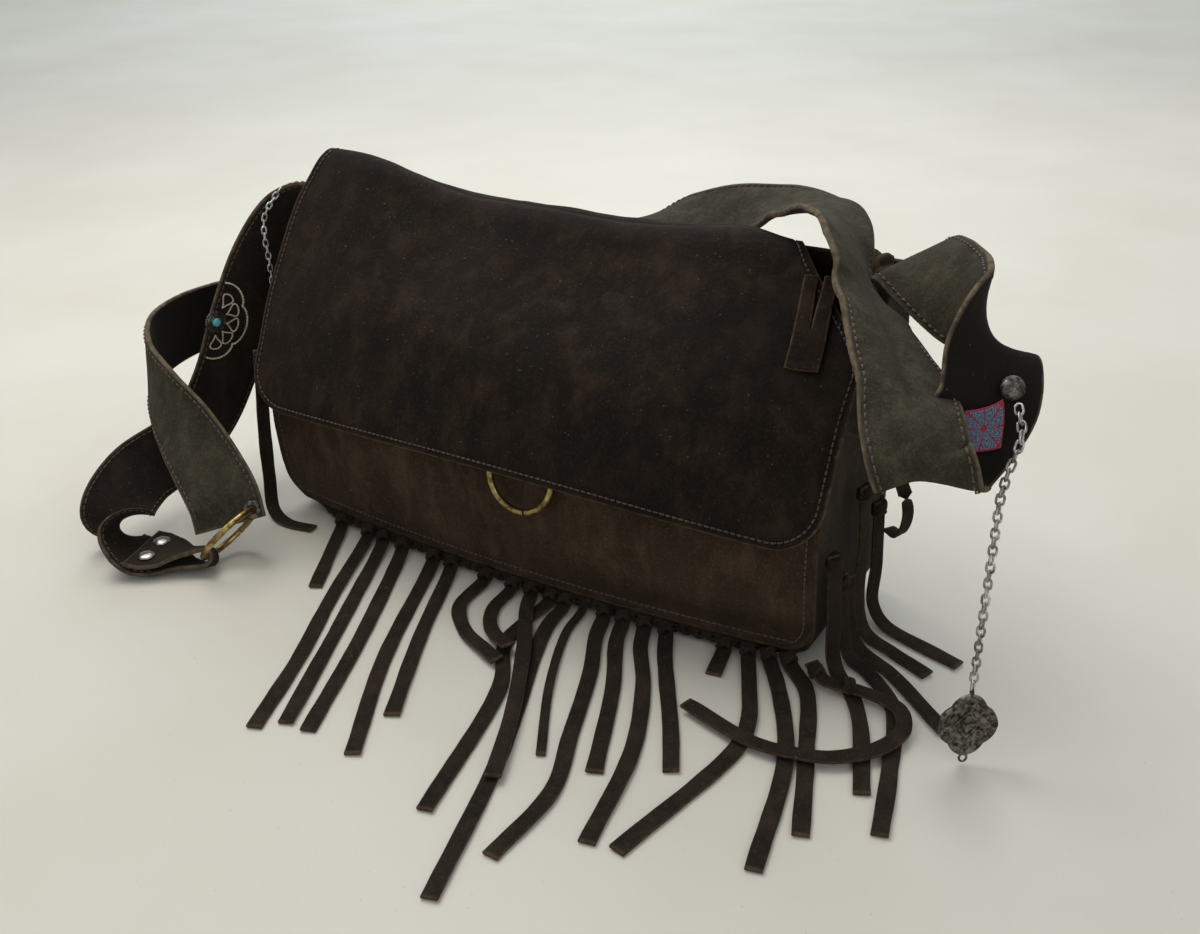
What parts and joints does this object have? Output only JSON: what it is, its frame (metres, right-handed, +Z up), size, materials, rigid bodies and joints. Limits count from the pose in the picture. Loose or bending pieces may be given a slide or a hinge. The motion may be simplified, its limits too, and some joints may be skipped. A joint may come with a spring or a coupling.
{
  "type": "fringed suede shoulder bag",
  "caption": "Slouchy suede shoulder bag with a rounded front flap, two joined straps, knotted thong fringe, metal rings, chains and a pendant.",
  "frame": {"origin": "on the underside of the base, at the middle of the bag", "axes": "+Z up; the front with the flap faces -Y; +X runs along the bag to the side with the hanging chain and pendant"},
  "size_m": [0.4901, 0.3186, 0.1998],
  "materials": {
    "brown_suede": "matte suede nap, worn",
    "dark_suede": "matte suede nap",
    "strap_leather": "matte, grey-brown",
    "antique_brass": "antique satin",
    "pewter": "dark antique",
    "silver_metal": "bright satin",
    "turquoise": "polished stone",
    "woven_cloth": "woven"
  },
  "bodies": {
    "bag": {"front_panel": "brown_suede", "back_panel": "brown_suede", "gusset": "dark_suede", "front_border": "dark_suede", "short_strap": "dark_suede", "long_strap": "strap_leather", "strap_eyelet": "pewter", "rivet_front": "silver_metal", "rivet_back": "silver_metal", "concho": "pewter", "turquoise_cabochon": "turquoise", "woven_patch": "woven_cloth", "chain_stud": "pewter", "shoulder_knot": "dark_suede", "front_thong_01": "dark_suede", "front_thong_02": "dark_suede", "front_thong_03": "dark_suede", "front_thong_04": "dark_suede", "front_thong_05": "dark_suede", "front_thong_06": "dark_suede", "front_thong_07": "dark_suede", "front_thong_08": "dark_suede", "front_thong_09": "dark_suede", "front_thong_10": "dark_suede", "front_thong_11": "dark_suede", "front_thong_12": "dark_suede", "front_thong_13": "dark_suede", "front_thong_14": "dark_suede", "front_thong_15": "dark_suede", "front_thong_16": "dark_suede", "front_thong_17": "dark_suede", "front_thong_18": "dark_suede", "front_thong_19": "dark_suede", "front_thong_20": "dark_suede", "right_thong_1": "dark_suede", "right_thong_2": "dark_suede", "right_thong_3": "dark_suede", "right_thong_4": "dark_suede", "right_thong_5": "dark_suede", "right_thong_loop": "dark_suede", "right_floor_loop": "dark_suede", "left_thong": "dark_suede", "flap_side_thong": "dark_suede"},
    "flap_body": {"flap": "brown_suede", "flap_lining": "dark_suede", "flap_ring_tab": "dark_suede", "flap_tab": "brown_suede"},
    "flap_ring_body": {"flap_ring": "antique_brass"},
    "strap_ring_body": {"strap_ring": "antique_brass"},
    "right_chain_body": {"right_chain": "silver_metal"},
    "pendant_body": {"pendant": "pewter"},
    "left_chain_body": {"left_chain": "silver_metal"}
  },
  "joints": [
    {"name": "flap_hinge", "type": "hinge", "parent": "bag", "child": "flap_body", "pos_m": [0, 0.0345, 0.1715], "axis": [-1, 0, 0], "range_deg": [0, 25]},
    {"name": "flap_ring_turn", "type": "hinge", "parent": "flap_body", "child": "flap_ring_body", "pos_m": [0.015, -0.0603, 0.0715], "axis": [0, 0.9848, -0.1736], "continuous": true},
    {"name": "strap_ring_turn", "type": "hinge", "parent": "bag", "child": "strap_ring_body", "pos_m": [-0.141, -0.106, 0.0188], "axis": [-0.7661, -0.0793, 0.6378], "continuous": true},
    {"name": "right_chain_swing", "type": "hinge", "parent": "bag", "child": "right_chain_body", "pos_m": [0.235, -0.055, 0.156], "axis": [0.8862, 0.4633, 0], "range_deg": [-30, 0]},
    {"name": "pendant_swing", "type": "hinge", "parent": "right_chain_body", "child": "pendant_body", "pos_m": [0.2365, -0.0696, 0.038], "axis": [0.53, -0.848, 0], "range_deg": [-40, 40]},
    {"name": "left_chain_swing", "type": "hinge", "parent": "bag", "child": "left_chain_body", "pos_m": [-0.1685, -0.009, 0.174], "axis": [1, 0, 0], "range_deg": [-8, 8]}
  ]
}
